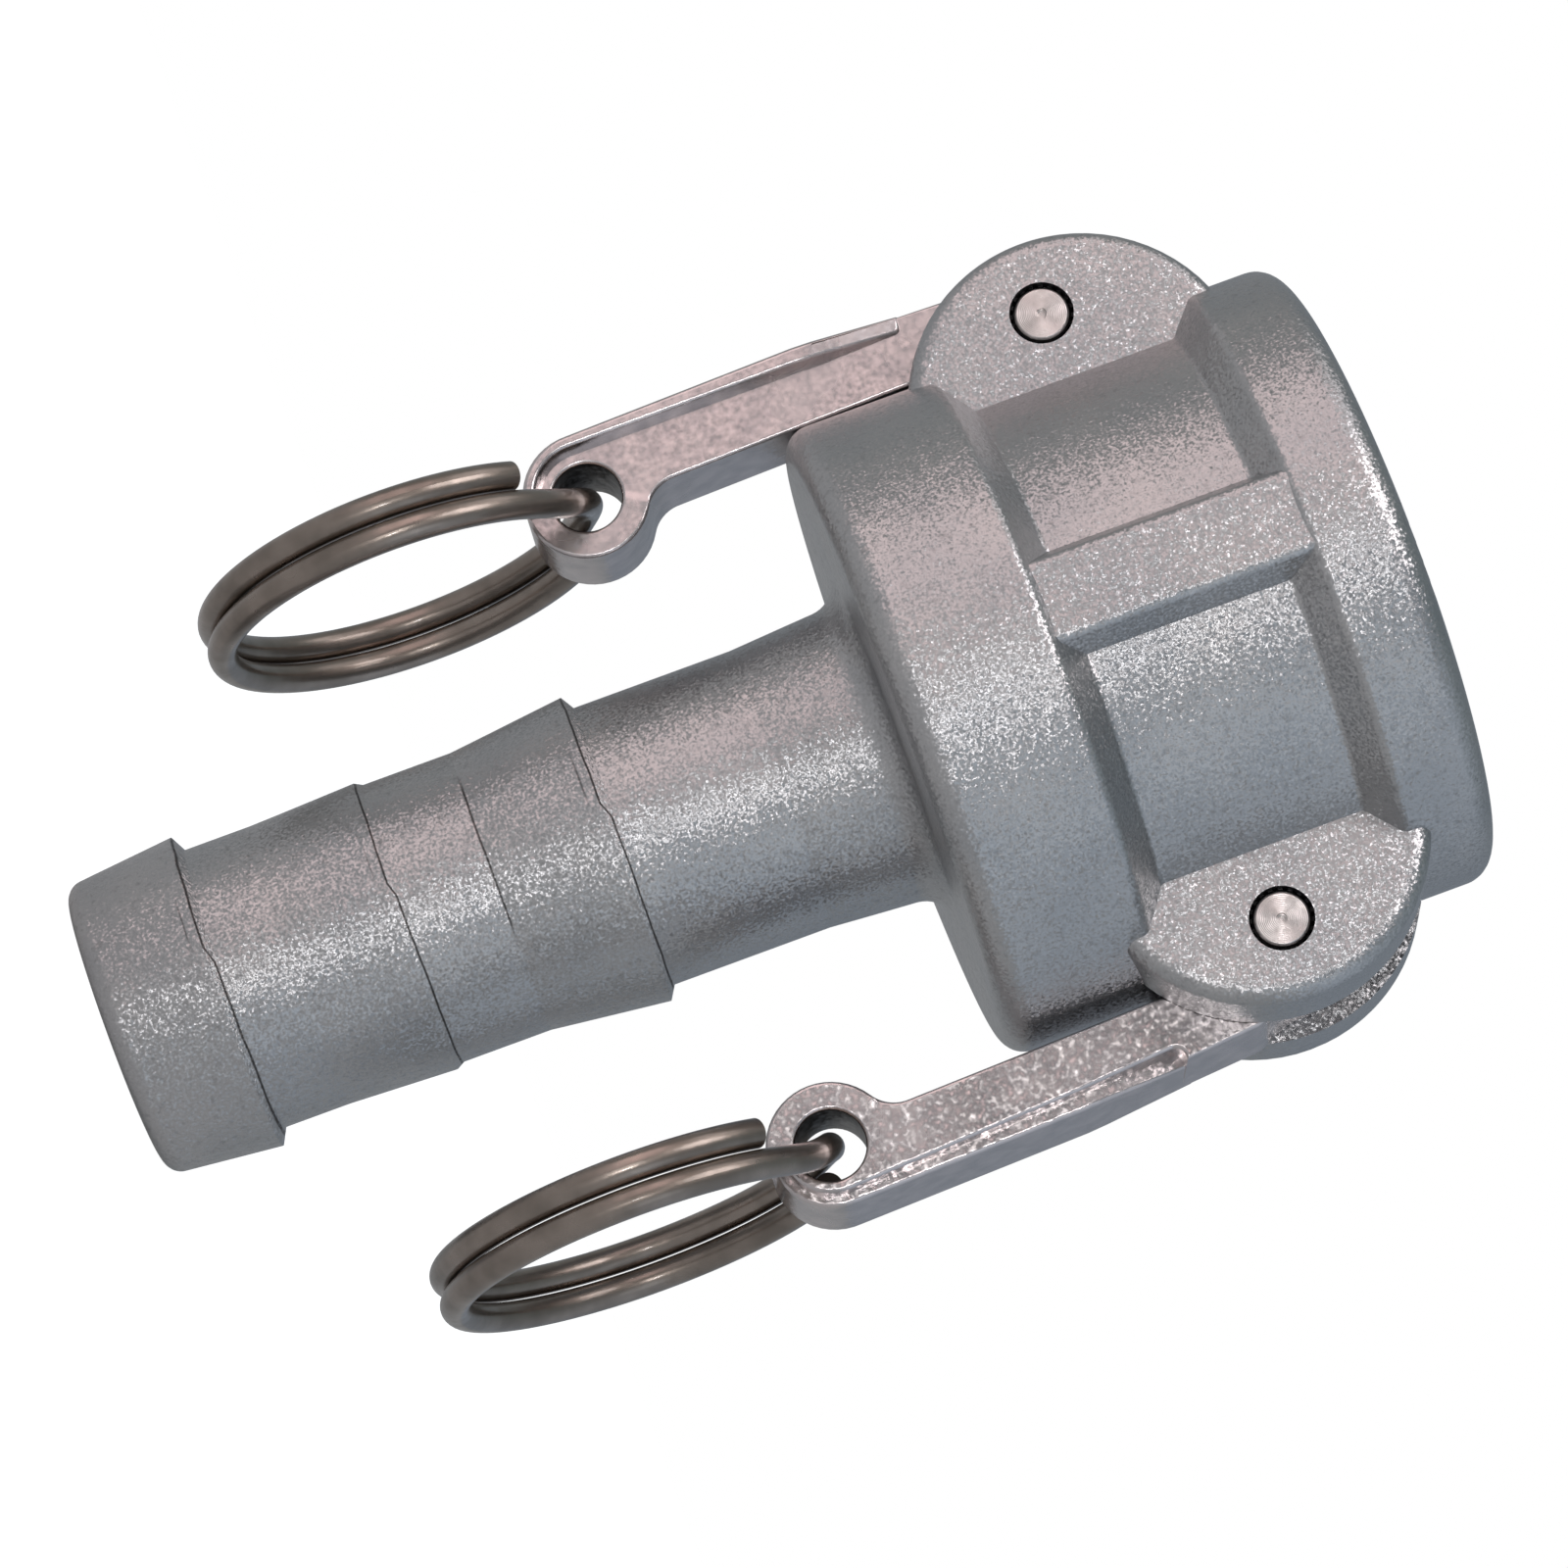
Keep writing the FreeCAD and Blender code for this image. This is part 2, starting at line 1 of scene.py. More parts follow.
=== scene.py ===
"""Cam and groove coupling with a barbed hose shank: finishes, floor, light and camera."""

import logging
import math
from dataclasses import dataclass, field
from enum import Enum

import bmesh
import bpy
from mathutils import Matrix, Quaternion, Vector


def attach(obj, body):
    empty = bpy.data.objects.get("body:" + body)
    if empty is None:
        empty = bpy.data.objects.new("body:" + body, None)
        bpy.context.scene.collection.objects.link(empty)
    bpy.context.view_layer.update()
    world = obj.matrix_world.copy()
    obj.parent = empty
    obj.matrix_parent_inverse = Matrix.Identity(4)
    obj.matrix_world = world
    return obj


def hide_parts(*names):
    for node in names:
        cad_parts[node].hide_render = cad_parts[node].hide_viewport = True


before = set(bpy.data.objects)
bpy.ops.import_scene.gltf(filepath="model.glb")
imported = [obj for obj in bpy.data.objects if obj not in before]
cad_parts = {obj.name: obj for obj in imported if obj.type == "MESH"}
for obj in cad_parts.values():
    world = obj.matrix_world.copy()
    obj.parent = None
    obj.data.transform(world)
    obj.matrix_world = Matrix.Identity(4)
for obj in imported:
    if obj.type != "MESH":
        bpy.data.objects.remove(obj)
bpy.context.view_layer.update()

LOG = logging.getLogger("coupling")

MM = 0.001
NOISE_MIDDLE = (0.5, 0.5, 0.5)
CLOUD_EDGE = 0.35
MOTTLES_A_METRE = 160.0
WAVERS_A_METRE = 260.0

# The places of a Mix node's factor, first colour, second colour and mixed colour.
COLOUR_MIX_INPUTS = (0, 6, 7)
COLOUR_MIX_OUTPUT = 2

Colour = tuple[float, float, float, float]
Point = tuple[float, float]
Socket = bpy.types.NodeSocket
Tree = bpy.types.NodeTree


class Slot(Enum):
    """Names of the record's material slots, listed beside the finishes in the dressing loop."""

    CAST = "cast_body"
    RUBBER = "gasket_rubber"
    PLATE = "plated_arm"
    PIN = "pin_steel"
    RING = "ring_steel"


class Bench:
    """Places nodes in one tree and joins them, so that a finish reads top to bottom."""

    def __init__(self, tree: Tree) -> None:
        """Keep the tree that the nodes go into."""
        self.tree = tree

    def add(self, kind: str, **settings: object) -> bpy.types.Node:
        """Place one node.

        Args:
            kind: The node's type, without its common front part.
            settings: Properties of the node, by name.

        Returns:
            The new node.
        """
        node = self.tree.nodes.new("ShaderNode" + kind)
        for name, value in settings.items():
            setattr(node, name, value)
        return node

    def put(self, socket: Socket, value: object) -> None:
        """Join an input to a socket, or set it to a number, vector or colour."""
        if isinstance(value, Socket):
            self.tree.links.new(value, socket)
        else:
            socket.default_value = value

    def feed(self, node: bpy.types.Node, **inputs: object) -> bpy.types.Node:
        """Set or join a node's inputs.

        Args:
            node: The node that takes the inputs.
            inputs: A number, colour or socket for each input, with _ for a space.

        Returns:
            The same node.
        """
        for name, value in inputs.items():
            self.put(node.inputs[name.replace("_", " ")], value)
        return node

    def sum_up(self, operation: str, first: object, second: object = 0.0) -> Socket:
        """Work out one operation on one or two numbers or sockets."""
        node = self.add("Math", operation=operation)
        self.put(node.inputs[0], first)
        self.put(node.inputs[1], second)
        return node.outputs[0]

    def vector(self, operation: str, first: Socket,
               second: object = (0.0, 0.0, 0.0)) -> Socket:
        """Work out one operation on one or two vectors or colours."""
        node = self.add("VectorMath", operation=operation)
        self.put(node.inputs[0], first)
        self.put(node.inputs[1], second)
        return node.outputs["Value" if operation == "LENGTH" else "Vector"]

    def stretch(self, value: Socket, low: float, high: float,
                start: float = 0.0, end: float = 1.0) -> Socket:
        """Spread a value's span from low to high over start to end, held at both ends."""
        node = self.feed(self.add("MapRange", clamp=True), From_Min=low, From_Max=high,
                         To_Min=start, To_Max=end, Value=value)
        return node.outputs["Result"]

    def spread(self, noise: Socket, start: float = 0.0, end: float = 1.0,
               edge: float = 0.3) -> Socket:
        """Spread a noise over start to end, but for the rare values within edge of 0 and 1."""
        return self.stretch(noise, edge, 1.0 - edge, start, end)

    def mix(self, factor: object, first: object, second: object) -> Socket:
        """Mix two colours by a factor."""
        node = self.add("Mix", data_type="RGBA")
        for place, value in zip(COLOUR_MIX_INPUTS, (factor, first, second)):
            self.put(node.inputs[place], value)
        return node.outputs[COLOUR_MIX_OUTPUT]

    def places(self) -> Socket:
        """The Object coordinates of the surface, in metres."""
        return self.add("TexCoord").outputs["Object"]

    def millimetres(self) -> Socket:
        """The Object coordinates of the surface, in millimetres."""
        return self.scaled(self.places(), 1.0 / MM)

    def facing(self) -> Socket:
        """The surface's normal."""
        return self.add("NewGeometry").outputs["Normal"]

    def split(self, vector: Socket) -> bpy.types.Node:
        """A node that gives a vector's X, Y and Z."""
        return self.feed(self.add("SeparateXYZ"), Vector=vector)

    def scaled(self, vector: Socket, share: object) -> Socket:
        """A vector or colour times a number."""
        node = self.feed(self.add("VectorMath", operation="SCALE"), Scale=share)
        self.put(node.inputs[0], vector)
        return node.outputs["Vector"]

    def joined(self, first: Socket, second: Socket) -> Socket:
        """Two vectors or colours added."""
        return self.vector("ADD", first, second)

    def unit(self, vector: Socket) -> Socket:
        """A vector brought to length one."""
        return self.vector("NORMALIZE", vector)

    def noise(self, places: Socket, scale: object, detail: float = 2.0) -> bpy.types.Node:
        """A soft noise of so many lumps a metre, with its Fac and its Color."""
        return self.feed(self.add("TexNoise"), Vector=places, Scale=scale, Detail=detail)


def group_tree(name: str, inputs: dict[str, float], outputs: dict[str, str]) -> Tree:
    """Start a shader node group.

    Args:
        name: The group's name.
        inputs: Each number input and its first value.
        outputs: Each output and its socket type.

    Returns:
        The group's tree, with its two end nodes named take and give.
    """
    tree = bpy.data.node_groups.new(name, "ShaderNodeTree")
    for label, value in inputs.items():
        socket = tree.interface.new_socket(label, in_out="INPUT", socket_type="NodeSocketFloat")
        socket.default_value = value
    for label, kind in outputs.items():
        tree.interface.new_socket(label, in_out="OUTPUT", socket_type=kind)
    tree.nodes.new("NodeGroupInput").name = "take"
    tree.nodes.new("NodeGroupOutput").name = "give"
    return tree


def grain_group() -> Tree:
    """Build the group for a cast or blasted skin: fine grains that each lean their own way.

    Returns:
        A group that gives the skin's height, its normal with the grains and a slow mottle.
    """
    tree = group_tree("metal grain", {"Grains": 4200.0, "Lean": 1.0, "Lumps": 2600.0},
                      {"Height": "NodeSocketFloat", "Normal": "NodeSocketVector",
                       "Mottle": "NodeSocketFloat"})
    bench = Bench(tree)
    take, give = tree.nodes["take"].outputs, tree.nodes["give"]
    places = bench.places()
    grains = bench.noise(places, take["Grains"], detail=1.0).outputs["Color"]
    lean = bench.scaled(bench.vector("SUBTRACT", grains, NOISE_MIDDLE), take["Lean"])
    bench.feed(give, Height=bench.noise(places, take["Lumps"]).outputs["Fac"],
               Normal=bench.unit(bench.joined(lean, bench.facing())),
               Mottle=bench.noise(places, MOTTLES_A_METRE).outputs["Fac"])
    return tree


def crease_group() -> Tree:
    """Build the group for one fine dark line round the shank, with a jog at the parting line; the
    lines at the barbs' steps are painted shade.

    Returns:
        A group that gives the line's mask; every size in it is in millimetres.
    """
    waver_reach, jog_reach, end_fade, side_fade = 0.05, 0.45, 1.5, 0.6
    tree = group_tree("crease",
                      {"Height": 0.0, "Jog": 0.0, "Half Width": 0.12, "Low End": -30.0,
                       "High End": 30.0, "Strength": 1.0},
                      {"Mask": "NodeSocketFloat"})
    bench = Bench(tree)
    take, give = tree.nodes["take"].outputs, tree.nodes["give"]
    place = bench.split(bench.millimetres())
    across, up = place.outputs["X"], place.outputs["Z"]
    waver = bench.spread(bench.noise(bench.places(), WAVERS_A_METRE).outputs["Fac"],
                         -waver_reach, waver_reach)
    jog = bench.sum_up("MULTIPLY", take["Jog"], bench.stretch(across, -jog_reach, jog_reach))
    line = bench.sum_up("ADD", bench.sum_up("ADD", take["Height"], jog), waver)
    off = bench.sum_up("ABSOLUTE", bench.sum_up("SUBTRACT", up, line))
    core = bench.sum_up("SUBTRACT", 1.0, bench.sum_up("DIVIDE", off, take["Half Width"]))
    past_low = bench.sum_up("SUBTRACT", across, take["Low End"])
    short_of_high = bench.sum_up("SUBTRACT", take["High End"], across)
    inside = bench.sum_up("MULTIPLY", bench.stretch(past_low, 0.0, end_fade),
                          bench.stretch(short_of_high, 0.0, end_fade))
    mask = bench.sum_up("MULTIPLY", bench.stretch(core, 0.0, side_fade), inside)
    bench.feed(give, Mask=bench.sum_up("MULTIPLY", mask, take["Strength"]))
    return tree


@dataclass(frozen=True)
class Crease:
    """One fine dark line round the shank, in millimetres; most of these are painted shade at the
    barbs' steps.
    """

    height: float
    jog: float = 0.0
    half_width: float = 0.095
    low_end: float = -30.0
    high_end: float = 30.0
    strength: float = 0.9

    def place(self, bench: Bench, tree: Tree) -> Socket:
        """Place the crease group with this line's values and give its mask."""
        node = bench.add("Group")
        node.node_tree = tree
        bench.feed(node, Height=self.height, Jog=self.jog, Half_Width=self.half_width,
                   Low_End=self.low_end, High_End=self.high_end, Strength=self.strength)
        return node.outputs["Mask"]


@dataclass(frozen=True)
class CastAluminium:
    """The body's tumbled casting skin: matt mid grey, fine glints, and painted shade lines at the
    barbs' steps with parting jogs.
    """

    dark: Colour = (0.46, 0.465, 0.475, 1.0)
    light: Colour = (0.52, 0.515, 0.515, 1.0)
    pit: Colour = (0.36, 0.36, 0.365, 1.0)
    # Painted shade: the dark of the lines at the barbs' steps, also used for the line at 25.8 mm.
    painted_shade: Colour = (0.04, 0.036, 0.034, 1.0)
    roughness_low: float = 0.29
    roughness_high: float = 0.37
    grains_a_metre: float = 5300.0
    grain_lean: float = 0.95
    lumps_a_metre: float = 2000.0
    lump_depth: float = 0.000008
    pit_low: float = 0.28
    pit_high: float = 0.42
    pit_strength: float = 0.6
    shank_top: float = 45.0
    barb_back_from: float = 0.2
    barb_back_full: float = 0.35
    bore_clear: float = 8.4
    # Painted shade along the three barbs' steps, each with a jog at the parting line; a dark line
    # part way round at 25.8 mm; and fainter, shorter painted shade lines a little below the three
    # steps.
    creases: tuple[Crease, ...] = (
        Crease(height=7.5, jog=0.3),
        Crease(height=19.5, jog=0.3),
        Crease(height=33.55, jog=0.38),
        Crease(height=25.8, half_width=0.1, low_end=-6.2, high_end=5.6, strength=0.85),
        Crease(height=6.75, half_width=0.08, low_end=-4.6, high_end=-0.2, strength=0.55),
        Crease(height=18.8, half_width=0.07, low_end=-3.8, high_end=-0.2, strength=0.4),
        Crease(height=32.85, half_width=0.09, low_end=-4.8, high_end=-0.2, strength=0.6),
    )

    def build(self, grain: Tree) -> bpy.types.Material:
        """Make the material.

        Args:
            grain: The grain group.

        Returns:
            The finished material.
        """
        material, bench, shader = blank_metal("cast aluminium")
        skin = grain_node(bench, grain, self.grains_a_metre, self.grain_lean,
                          self.lumps_a_metre)
        height = skin.outputs["Height"]
        clean = bench.mix(bench.spread(skin.outputs["Mottle"]), self.dark, self.light)
        pits = bench.stretch(height, self.pit_low, self.pit_high, self.pit_strength, 0.0)
        plain = bench.mix(pits, clean, self.pit)
        bump = bench.feed(bench.add("Bump"), Strength=1.0, Distance=self.lump_depth,
                          Height=height,
                          Normal=self.barb_normal(bench, skin.outputs["Normal"]))
        # Painted shade: the line mask darkens the barbs' steps and the line at 25.8 mm towards
        # the dark colour.
        bench.feed(shader, Base_Color=bench.mix(self.lines(bench), plain, self.painted_shade),
                   Roughness=bench.spread(height, self.roughness_high, self.roughness_low),
                   Normal=bump.outputs["Normal"])
        return material

    def lines(self, bench: Bench) -> Socket:
        """All the dark lines, mostly painted shade at the barbs' steps, in one mask, kept off the
        bore.
        """
        tree = crease_group()
        total: object = 0.0
        for crease in self.creases:
            total = bench.sum_up("MAXIMUM", crease.place(bench, tree), total)
        return bench.sum_up("MULTIPLY", total, self.outside(bench))

    def outside(self, bench: Bench) -> Socket:
        """One outside the hose bore and nought inside it."""
        flat = bench.vector("MULTIPLY", bench.millimetres(), (1.0, 1.0, 0.0))
        return bench.sum_up("GREATER_THAN", bench.vector("LENGTH", flat), self.bore_clear)

    def barb_normal(self, bench: Bench, normal: Socket) -> Socket:
        """Round the back of each barb over, so that only its foot reads as a line."""
        facing = bench.split(bench.facing()).outputs["Z"]
        height = bench.split(bench.millimetres()).outputs["Z"]
        on_shank = bench.sum_up("LESS_THAN", height, self.shank_top)
        steep = bench.stretch(facing, self.barb_back_from, self.barb_back_full)
        share = bench.sum_up("MULTIPLY", steep, on_shank)
        drop = bench.sum_up("MULTIPLY", bench.sum_up("MULTIPLY", share, facing), -1.0)
        down = bench.feed(bench.add("CombineXYZ"), Z=drop)
        return bench.unit(bench.joined(normal, down.outputs["Vector"]))


@dataclass(frozen=True)
class PlatedCasting:
    """The cam arms' nickel plate over a small casting: smooth, with a soft clouding."""

    colour: Colour = (0.70, 0.64, 0.63, 1.0)
    dull: Colour = (0.58, 0.54, 0.54, 1.0)
    roughness_low: float = 0.2
    roughness_high: float = 0.3
    grains_a_metre: float = 2600.0
    grain_lean: float = 0.14
    sunk_lean: float = 0.42
    sunk_facing: float = -0.9
    lumps_a_metre: float = 700.0
    lump_depth: float = 0.000014

    def build(self, grain: Tree) -> bpy.types.Material:
        """Make the material.

        Args:
            grain: The grain group.

        Returns:
            The finished material.
        """
        material, bench, shader = blank_metal("plated casting")
        lean = bench.stretch(self.sunk(bench), 0.0, 1.0, self.grain_lean, self.sunk_lean)
        skin = grain_node(bench, grain, self.grains_a_metre, lean, self.lumps_a_metre)
        height = skin.outputs["Height"]
        bump = bench.feed(bench.add("Bump"), Strength=1.0, Distance=self.lump_depth,
                          Height=height, Normal=skin.outputs["Normal"])
        bench.feed(shader,
                   Base_Color=bench.mix(bench.spread(height, edge=CLOUD_EDGE), self.dull,
                                        self.colour),
                   Roughness=bench.spread(skin.outputs["Mottle"], self.roughness_low,
                                          self.roughness_high),
                   Normal=bump.outputs["Normal"])
        return material

    def sunk(self, bench: Bench) -> Socket:
        """One on the arms' sunk faces, which are as rough as the mould, and nought elsewhere."""
        side = bench.sum_up("SIGN", bench.split(bench.places()).outputs["X"])
        towards = bench.split(bench.facing()).outputs["Y"]
        return bench.sum_up("LESS_THAN", bench.sum_up("MULTIPLY", side, towards),
                            self.sunk_facing)


@dataclass(frozen=True)
class EyeBore:
    """The dull plate inside the arms' holes, made dark as painted shade, with lighter worn
    patches.
    """

    # Painted shade: the dark of the holes' insides.
    colour: Colour = (0.16, 0.15, 0.14, 1.0)
    worn: Colour = (0.34, 0.32, 0.30, 1.0)
    worn_from: float = 0.4
    worn_full: float = 0.75
    roughness: float = 0.38
    grains_a_metre: float = 2600.0
    grain_lean: float = 0.3
    lumps_a_metre: float = 700.0

    def build(self, grain: Tree) -> bpy.types.Material:
        """Make the material.

        Args:
            grain: The grain group.

        Returns:
            The finished material.
        """
        material, bench, shader = blank_metal("painted shade bore")
        skin = grain_node(bench, grain, self.grains_a_metre, self.grain_lean,
                          self.lumps_a_metre)
        wear = bench.stretch(skin.outputs["Height"], self.worn_from, self.worn_full)
        bench.feed(shader, Base_Color=bench.mix(wear, self.colour, self.worn),
                   Roughness=self.roughness, Normal=skin.outputs["Normal"])
        return material


@dataclass(frozen=True)
class PinSteel:
    """The pivot pins' bright steel, faced in fine rings at the ends, with painted shade round the
    rim of each end face.
    """

    colour: Colour = (0.74, 0.69, 0.67, 1.0)
    dull: Colour = (0.55, 0.52, 0.50, 1.0)
    # Painted shade: the dark of the gap round each end face.
    painted_shade: Colour = (0.02, 0.02, 0.02, 1.0)
    roughness: float = 0.3
    grains_a_metre: float = 2400.0
    grain_lean: float = 0.15
    lumps_a_metre: float = 900.0
    pin_out: float = 21.0
    pin_up: float = 70.45
    face_radius: float = 1.68
    face_edge: float = 0.06
    ring_pitch: float = 0.11
    ring_lean: float = 0.22

    def build(self, grain: Tree) -> bpy.types.Material:
        """Make the material.

        Args:
            grain: The grain group.

        Returns:
            The finished material.
        """
        material, bench, shader = blank_metal("pin steel")
        skin = grain_node(bench, grain, self.grains_a_metre, self.grain_lean,
                          self.lumps_a_metre)
        radial = self.radial(bench)
        far = bench.vector("LENGTH", radial)
        clean = bench.mix(bench.spread(skin.outputs["Height"], edge=CLOUD_EDGE), self.dull,
                          self.colour)
        # Painted shade where the end face meets the gap round it.
        gap_shade = bench.stretch(far, self.face_radius, self.face_radius + self.face_edge)
        bench.feed(shader, Base_Color=bench.mix(gap_shade, clean, self.painted_shade),
                   Roughness=self.roughness,
                   Normal=self.faced(bench, radial, far, skin.outputs["Normal"]))
        return material

    def radial(self, bench: Bench) -> Socket:
        """The vector from the nearer pin's axis to the surface, in millimetres."""
        place = bench.split(bench.millimetres())
        across, up = place.outputs["X"], place.outputs["Z"]
        axis = bench.sum_up("MULTIPLY", bench.sum_up("SIGN", across), self.pin_out)
        radial = bench.feed(bench.add("CombineXYZ"), X=bench.sum_up("SUBTRACT", across, axis),
                            Z=bench.sum_up("SUBTRACT", up, self.pin_up))
        return radial.outputs["Vector"]

    def faced(self, bench: Bench, radial: Socket, far: Socket, normal: Socket) -> Socket:
        """Lean the normal in and out along the radius, as fine turned rings do."""
        wave = bench.sum_up("SINE", bench.sum_up("MULTIPLY", far, math.tau / self.ring_pitch))
        lean = bench.scaled(bench.unit(radial), bench.sum_up("MULTIPLY", wave, self.ring_lean))
        return bench.unit(bench.joined(normal, lean))


@dataclass(frozen=True)
class RingWire:
    """The pull rings' drawn steel wire: satin brown-grey under a thin clear gloss."""

    colour: Colour = (0.34, 0.285, 0.245, 1.0)
    dull: Colour = (0.22, 0.185, 0.155, 1.0)
    roughness_low: float = 0.26
    roughness_high: float = 0.4
    gloss: float = 0.7
    gloss_roughness: float = 0.1
    grains_a_metre: float = 3000.0
    grain_lean: float = 0.08
    lumps_a_metre: float = 420.0

    def build(self, grain: Tree) -> bpy.types.Material:
        """Make the material.

        Args:
            grain: The grain group.

        Returns:
            The finished material.
        """
        material, bench, shader = blank_metal("ring wire")
        skin = grain_node(bench, grain, self.grains_a_metre, self.grain_lean,
                          self.lumps_a_metre)
        height = skin.outputs["Height"]
        bench.feed(shader, Base_Color=bench.mix(bench.spread(height), self.dull, self.colour),
                   Roughness=bench.spread(height, self.roughness_high, self.roughness_low),
                   Coat_Weight=self.gloss, Coat_Roughness=self.gloss_roughness,
                   Normal=skin.outputs["Normal"])
        return material


@dataclass(frozen=True)
class GasketRubber:
    """The moulded black rubber of the gasket."""

    colour: Colour = (0.018, 0.018, 0.019, 1.0)
    bloom: Colour = (0.04, 0.04, 0.04, 1.0)
    bloom_from: float = 0.35
    bloom_full: float = 0.7
    roughness_low: float = 0.55
    roughness_high: float = 0.75
    grains_a_metre: float = 2500.0
    grain_lean: float = 0.1
    lumps_a_metre: float = 400.0
    lump_depth: float = 0.00003

    def build(self, grain: Tree) -> bpy.types.Material:
        """Make the material.

        Args:
            grain: The grain group.

        Returns:
            The finished material.
        """
        material, bench, shader = blank_metal("gasket rubber")
        shader.inputs["Metallic"].default_value = 0.0
        skin = grain_node(bench, grain, self.grains_a_metre, self.grain_lean,
                          self.lumps_a_metre)
        height = skin.outputs["Height"]
        tone = bench.stretch(skin.outputs["Mottle"], self.bloom_from, self.bloom_full)
        bump = bench.feed(bench.add("Bump"), Strength=1.0, Distance=self.lump_depth,
                          Height=height)
        bench.feed(shader, Base_Color=bench.mix(tone, self.colour, self.bloom),
                   Roughness=bench.spread(height, self.roughness_low, self.roughness_high),
                   Normal=bump.outputs["Normal"])
        return material


def blank_metal(name: str) -> tuple[bpy.types.Material, Bench, bpy.types.Node]:
    """Start a fully metallic material.

    Args:
        name: The material's name.

    Returns:
        The material, the bench on its tree and its shader node.
    """
    material = bpy.data.materials.new(name)
    material.use_nodes = True
    shader = material.node_tree.nodes["Principled BSDF"]
    shader.inputs["Metallic"].default_value = 1.0
    return material, Bench(material.node_tree), shader


def grain_node(bench: Bench, grain: Tree, grains: float, lean: object,
               lumps: float) -> bpy.types.Node:
    """Place the grain group with its own values.

    Args:
        bench: The bench of the material that uses it.
        grain: The grain group.
        grains: Grains a metre.
        lean: How far the grains lean from the surface, as a number or a socket.
        lumps: Lumps a metre.

    Returns:
        The group's node.
    """
    node = bench.add("Group")
    node.node_tree = grain
    return bench.feed(node, Grains=grains, Lean=lean, Lumps=lumps)


@dataclass(frozen=True)
class ArmForm:
    """Sizes of a cam arm in millimetres from its pivot.

    Across is outwards, up is away from the eye, and depth is along the pivot pin.
    """

    half_thickness: float = 3.15
    head_radius: float = 4.0
    head_end: float = -10.0
    lobe_across: float = -2.35
    lobe_radius: float = 5.25
    outer: float = 4.8
    shoulder: Point = (4.8, -1.8)
    shoulder_round: float = 2.0
    shoulder_start: float = 40.0
    inner_near: Point = (0.25, -7.5)
    inner_far: Point = (-0.6, -25.14)
    eye_drop: float = 30.85
    eye_boss: float = 4.05
    eye_hole: float = 2.25
    eye_rim: float = 2.9
    valley_round: float = 2.4
    pin_hole: float = 1.9
    rib_inner: float = 3.3
    rib_top: float = -8.3
    rib_round: float = 0.8
    ramp_run: float = 5.8
    rib_rise: float = 1.05
    rib_rise_at_end: float = 0.2
    rib_sink: float = 1.0
    rib_sink_at_end: float = 2.1
    wall_slant: float = 0.35
    draft: float = 0.36
    web_round: float = 0.26
    rib_edge_round: float = 0.3
    round_steps: int = 4
    foot_depth: float = 0.4
    step: float = 0.12
    flank_step: float = 0.01
    tuck: float = 0.6

    @property
    def eye(self) -> Point:
        """The eye's centre."""
        return (0.0, -self.eye_drop)

    @property
    def middle(self) -> Point:
        """The corner half way down the outer edge."""
        return (self.outer, -self.eye_drop / 2)

    def outer_edge(self, inset: float) -> list[Point]:
        """The rib's outer edge, from its top corner down and round under the eye.

        Args:
            inset: How far the edge lies inside the full outline.

        Returns:
            Points in order.
        """
        return [(self.outer - inset, self.rib_top), (self.middle[0] - inset, self.middle[1]),
                *arc(self.eye, self.eye_boss - inset, 0.0, -90.0)]

    def rib_edge(self, shift: float, drop: float = 0.0) -> list[Point]:
        """The rib's inner edge, from under the eye back up to its top corner.

        Args:
            shift: How far the edge lies outwards of the rib's foot.
            drop: How far its top corner lies below the rib's top.

        Returns:
            Points in order.
        """
        inner, top, bend = self.rib_inner + shift, self.rib_top - drop, self.rib_round - shift
        return [*arc(self.eye, self.eye_rim + shift, -90.0, 0.0),
                (inner, self.middle[1]),
                *arc((inner + bend, top - bend), bend, 180.0, 90.0)]

    def rib_outline(self, inset: float, shift: float) -> list[Point]:
        """The rib's whole outline; inset and shift are those of its two edges."""
        return self.outer_edge(inset) + self.rib_edge(shift)

    def web_outline(self, inset: float, tuck: float) -> list[Point]:
        """The web's outline: head, lobe, bar and the eye's inner half, up to the rib.

        Args:
            inset: How far the outer edges lie inside the full outline.
            tuck: How far the web reaches in under the rib.

        Returns:
            Points in order.
        """
        round_centre = (self.shoulder[0] - inset - self.shoulder_round,
                        self.shoulder[1] - self.shoulder_round)
        valley = (self.inner_far[0] - self.valley_round, self.inner_far[1])
        foot = math.degrees(math.atan2(valley[1] + self.eye_drop, valley[0]))
        return [
            *arc((self.lobe_across, 0.0), self.lobe_radius, 270.0, 90.0),
            *arc((0.0, 0.0), self.head_radius - inset / 2, 90.0, self.head_end),
            *arc(round_centre, self.shoulder_round, self.shoulder_start, 0.0),
            (self.outer - inset, self.rib_top - tuck),
            *self.rib_edge(tuck, tuck)[::-1],
            *arc(self.eye, self.eye_boss, -90.0, foot - 360.0),
            *arc(valley, self.valley_round, foot - 180.0, 0.0),
            self.inner_near,
        ]

    def holes(self) -> list[list[Point]]:
        """The pivot hole and the ring's eye."""
        return [arc((0.0, 0.0), self.pin_hole, 0.0, 360.0)[:-1],
                arc(self.eye, self.eye_hole, 0.0, 360.0)[:-1]]

    def inset(self, depth: float) -> float:
        """How far the mould's draft brings the rib's outer edge in at a depth."""
        wall = self.half_thickness - self.web_round
        return max(0.0, self.draft * (wall - depth) / (2.0 * wall) - self.flank_step)

    def ramp(self, up: float, change: float) -> float:
        """The change in the rib's height at a place along the arm, which is whole at its top."""
        share = (up - (self.rib_top - self.ramp_run)) / self.ramp_run
        return change * min(1.0, max(0.0, share))


